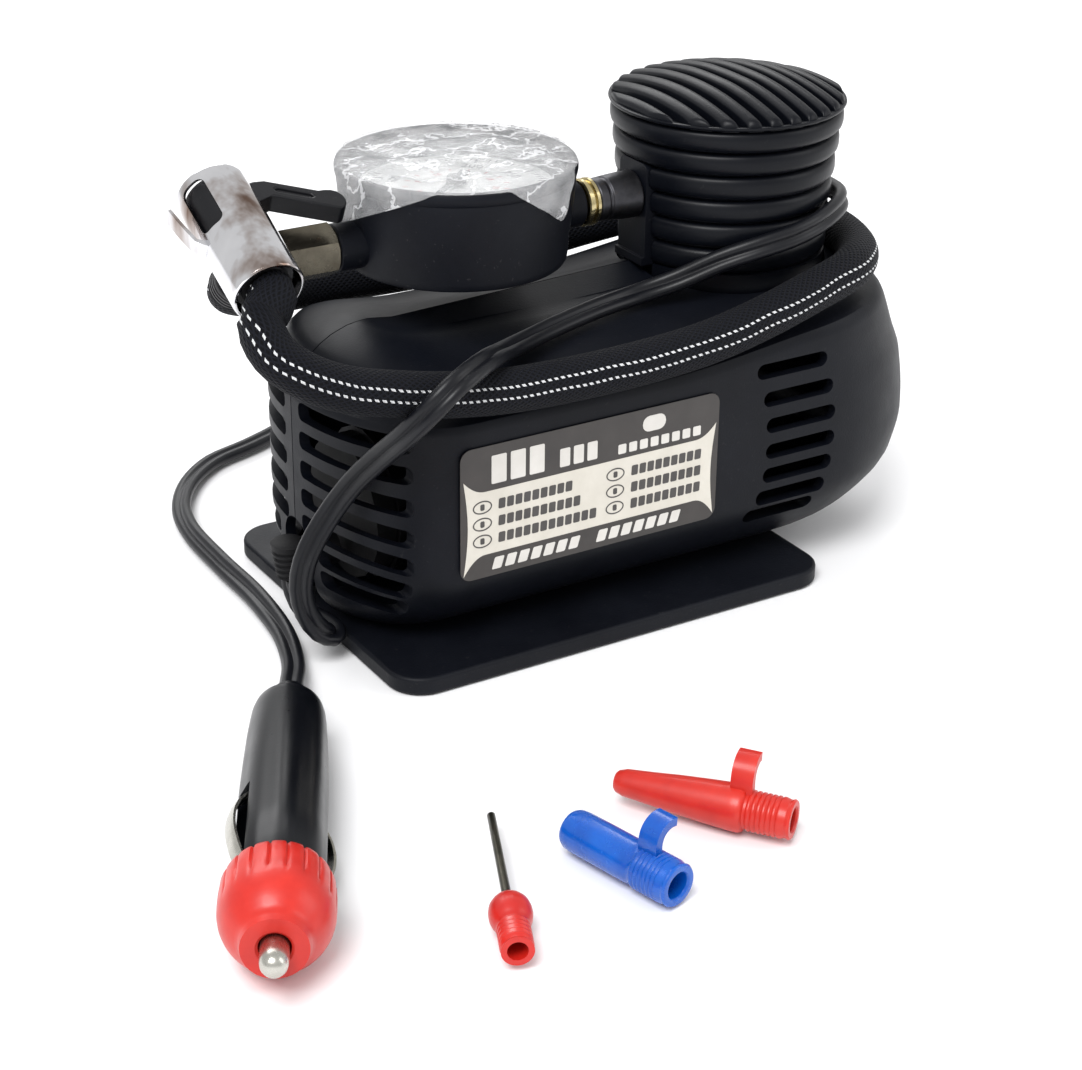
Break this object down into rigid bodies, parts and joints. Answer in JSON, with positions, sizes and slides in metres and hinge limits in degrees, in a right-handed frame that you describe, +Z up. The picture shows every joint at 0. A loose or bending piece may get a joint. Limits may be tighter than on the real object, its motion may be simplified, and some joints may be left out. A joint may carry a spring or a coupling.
{
  "type": "portable tire inflator",
  "caption": "Small 12 V tire inflator: louvred body on a flat base, ribbed pump tower, in-line pressure gauge, braided hose with thumb-lock chuck, lighter plug lead and three loose adapters.",
  "frame": {"origin": "middle of the base plate's flat underside, on the surface the inflator stands on", "axes": "+X from the louvred nose towards the pump tower, +Z up, -Y towards the label side"},
  "size_m": [0.2258, 0.2724, 0.1097],
  "materials": {
    "body_black": "satin moulded, lightly textured",
    "base_black": "matte, fine grain",
    "cap_black": "satin gloss",
    "gauge_black": "satin",
    "label_print": "printed film",
    "dark_alloy": "blackened, worn",
    "alloy": "as cast",
    "steel": "plated",
    "brass": "turned",
    "chrome": "polished",
    "contact_metal": "nickel plated",
    "fuse_metal": "plated ends",
    "gear_nylon": "natural nylon",
    "dial_white": "printed",
    "lens_clear": "clear",
    "film_clear": "thin clear film",
    "seal_rubber": "moulded",
    "ferrule_black": "satin",
    "hose_braid": "textile braid",
    "cord_black": "soft sheath",
    "tie_black": "coated wire",
    "plug_red": "moulded",
    "needle_red": "moulded",
    "nozzle_red": "moulded",
    "adapter_blue": "translucent"
  },
  "bodies": {
    "pump_body": {"housing_near": "body_black", "housing_far": "body_black", "housing_screw_1": "steel", "housing_screw_2": "steel", "housing_screw_3": "steel", "label_sticker": "label_print", "base_plate": "base_black", "base_screw_1": "steel", "base_screw_2": "steel", "cylinder_cover": "body_black", "finned_cap": "cap_black", "outlet_flange": "body_black", "outlet_pipe": "dark_alloy", "brass_ring": "brass", "motor_can": "steel", "motor_end_cap": "gear_nylon", "gear_frame": "steel", "gear_axle": "steel", "cylinder_barrel": "alloy", "cylinder_head": "alloy", "gauge_case": "gauge_black", "gauge_stem": "brass", "bourdon_tube": "brass", "gauge_dial": "dial_white", "gauge_lens": "lens_clear", "lens_film": "film_clear", "hose_nut": "brass", "hose_elbow": "brass", "hose_ferrule": "ferrule_black", "air_hose": "hose_braid", "chuck_boot": "seal_rubber", "chuck_sleeve": "chrome", "chuck_body": "gauge_black", "chuck_seal": "seal_rubber", "lever_pin": "steel", "cord_gland": "cord_black", "power_cord_near": "cord_black", "power_cord_far": "cord_black", "cord_coil": "cord_black", "coil_tie": "tie_black", "plug_barrel": "cap_black", "plug_collar": "plug_red", "plug_fuse": "fuse_metal"},
    "motor_shaft": {"motor_rotor": "steel", "pinion_gear": "brass"},
    "crank_gear": {"drive_gear": "gear_nylon", "crank_pin": "steel"},
    "piston_body": {"piston": "alloy", "piston_seal": "seal_rubber"},
    "rod": {"connecting_rod": "alloy"},
    "valve_disc": {"outlet_valve": "steel"},
    "pointer": {"gauge_pointer": "gauge_black"},
    "lever": {"thumb_lever": "cap_black"},
    "plug_centre_contact": {"plug_tip": "contact_metal"},
    "plug_side_contact_left": {"plug_contact_left": "contact_metal"},
    "plug_side_contact_right": {"plug_contact_right": "contact_metal"},
    "needle": {"needle_adapter": "needle_red"},
    "cone_adapter": {"blue_adapter": "adapter_blue"},
    "nozzle": {"red_nozzle": "nozzle_red"}
  },
  "joints": [
    {"name": "crank_gear_spin", "type": "hinge", "parent": "pump_body", "child": "crank_gear", "pos_m": [0.0375, 0, 0.04375], "axis": [1, 0, 0], "continuous": true},
    {"name": "motor_spin", "type": "hinge", "parent": "pump_body", "child": "motor_shaft", "pos_m": [0, 0, 0.026], "axis": [1, 0, 0], "continuous": true},
    {"name": "piston_stroke", "type": "slide", "parent": "pump_body", "child": "piston_body", "axis": [0, 0, 1], "range_m": [-0.012, 0]},
    {"name": "rod_swing", "type": "hinge", "parent": "piston_body", "child": "rod", "pos_m": [0.051, 0, 0.07575], "axis": [1, 0, 0], "range_deg": [-13.3, 13.3]},
    {"name": "valve_lift", "type": "slide", "parent": "pump_body", "child": "valve_disc", "axis": [0, 0, 1], "range_m": [0, 0.0015]},
    {"name": "pointer_turn", "type": "hinge", "parent": "pump_body", "child": "pointer", "pos_m": [-0.0184, 0, 0.0955], "axis": [0, 0, -1], "range_deg": [0, 260], "stiffness_Nm_per_rad": 0.0002},
    {"name": "lever_turn", "type": "hinge", "parent": "pump_body", "child": "lever", "pos_m": [-0.06836, -0.00123, 0.09797], "axis": [0, 0.4368, -0.8996], "range_deg": [-24, 36]},
    {"name": "tip_press", "type": "slide", "parent": "pump_body", "child": "plug_centre_contact", "axis": [0.463, 0.886, -0.026], "range_m": [0, 0.0025], "stiffness_N_per_m": 500},
    {"name": "contact_left_press", "type": "slide", "parent": "pump_body", "child": "plug_side_contact_left", "axis": [-0.7615, 0.4126, 0.4998], "range_m": [0, 0.0012], "stiffness_N_per_m": 800},
    {"name": "contact_right_press", "type": "slide", "parent": "pump_body", "child": "plug_side_contact_right", "axis": [0.7615, -0.4126, -0.4998], "range_m": [0, 0.0012], "stiffness_N_per_m": 800},
    {"name": "needle_lift", "type": "slide", "parent": "pump_body", "child": "needle", "axis": [0, 0, 1], "range_m": [0, 0.06]},
    {"name": "cone_adapter_lift", "type": "slide", "parent": "pump_body", "child": "cone_adapter", "axis": [0, 0, 1], "range_m": [0, 0.06]},
    {"name": "nozzle_lift", "type": "slide", "parent": "pump_body", "child": "nozzle", "axis": [0, 0, 1], "range_m": [0, 0.06]}
  ],
  "couplings": [
    {"joint": "crank_gear_spin", "follows": "motor_spin", "ratio": -0.25}
  ]
}
